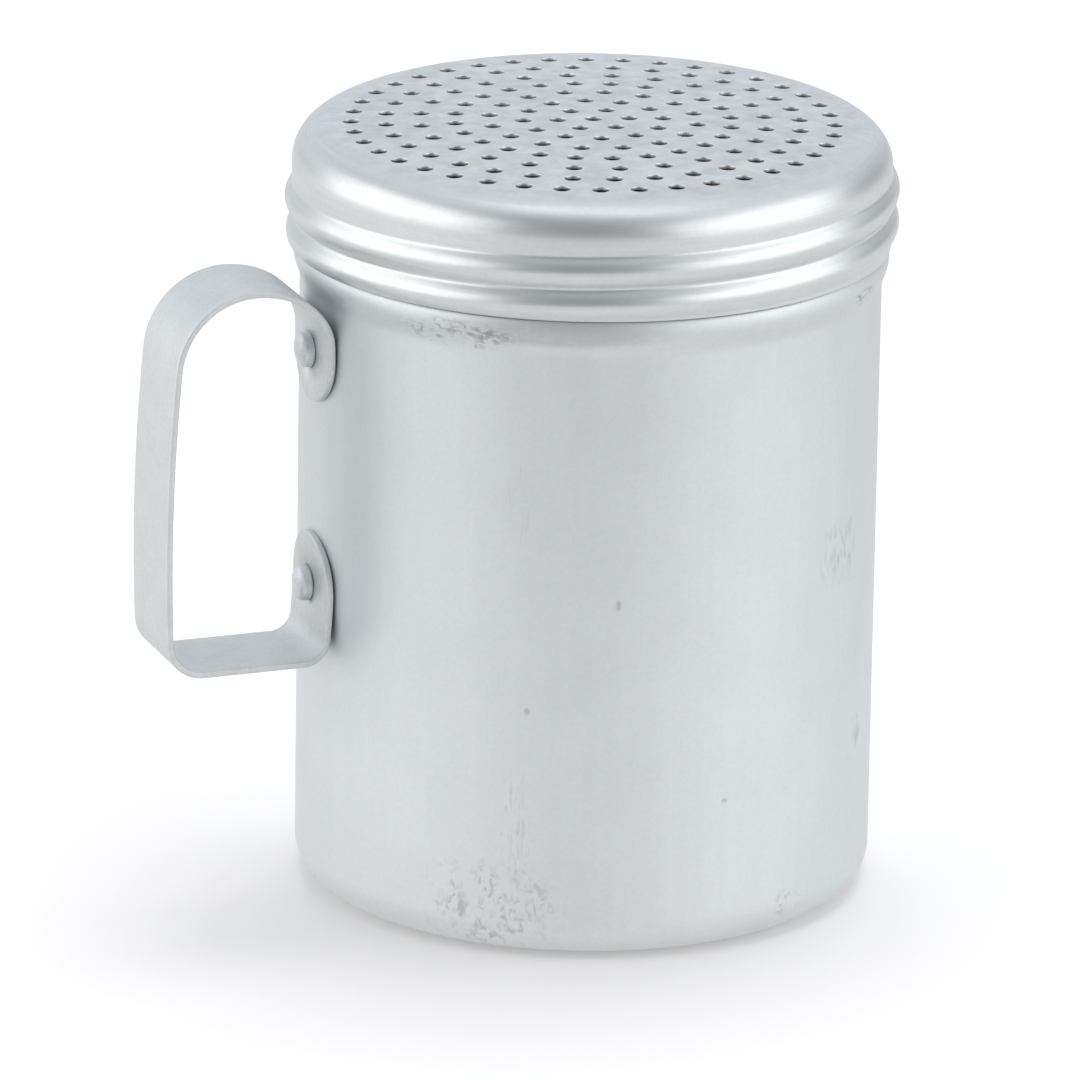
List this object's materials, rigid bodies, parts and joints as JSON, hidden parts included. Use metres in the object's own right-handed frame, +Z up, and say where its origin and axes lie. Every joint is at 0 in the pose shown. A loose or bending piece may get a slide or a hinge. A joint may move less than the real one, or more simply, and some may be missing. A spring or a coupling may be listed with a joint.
{
  "type": "restaurant spice shaker",
  "caption": "Round aluminium spice shaker with a perforated screw-on lid and a riveted strap handle, for dredging spice, flour or sugar.",
  "frame": {"origin": "on the cup's axis, in the flat face it stands on", "axes": "+Z up along the cup's axis; the handle is on the -X side; Y runs across the strap"},
  "size_m": [0.0924, 0.0736, 0.0943],
  "materials": {
    "cup_aluminium": "satin spun aluminium with light scuffs",
    "lid_aluminium": "brighter spun aluminium, semi-polished",
    "strap_aluminium": "matt mill-finish strip",
    "rivet_aluminium": "matt headed aluminium"
  },
  "bodies": {
    "cup": {"cup_body": "cup_aluminium", "handle": "strap_aluminium", "rivet_upper": "rivet_aluminium", "rivet_lower": "rivet_aluminium"},
    "lid": {"lid": "lid_aluminium"}
  },
  "joints": [
    {"name": "lid_lift", "type": "slide", "parent": "cup", "child": "lid", "axis": [0, 0, 1], "range_m": [0, 0.04]}
  ]
}
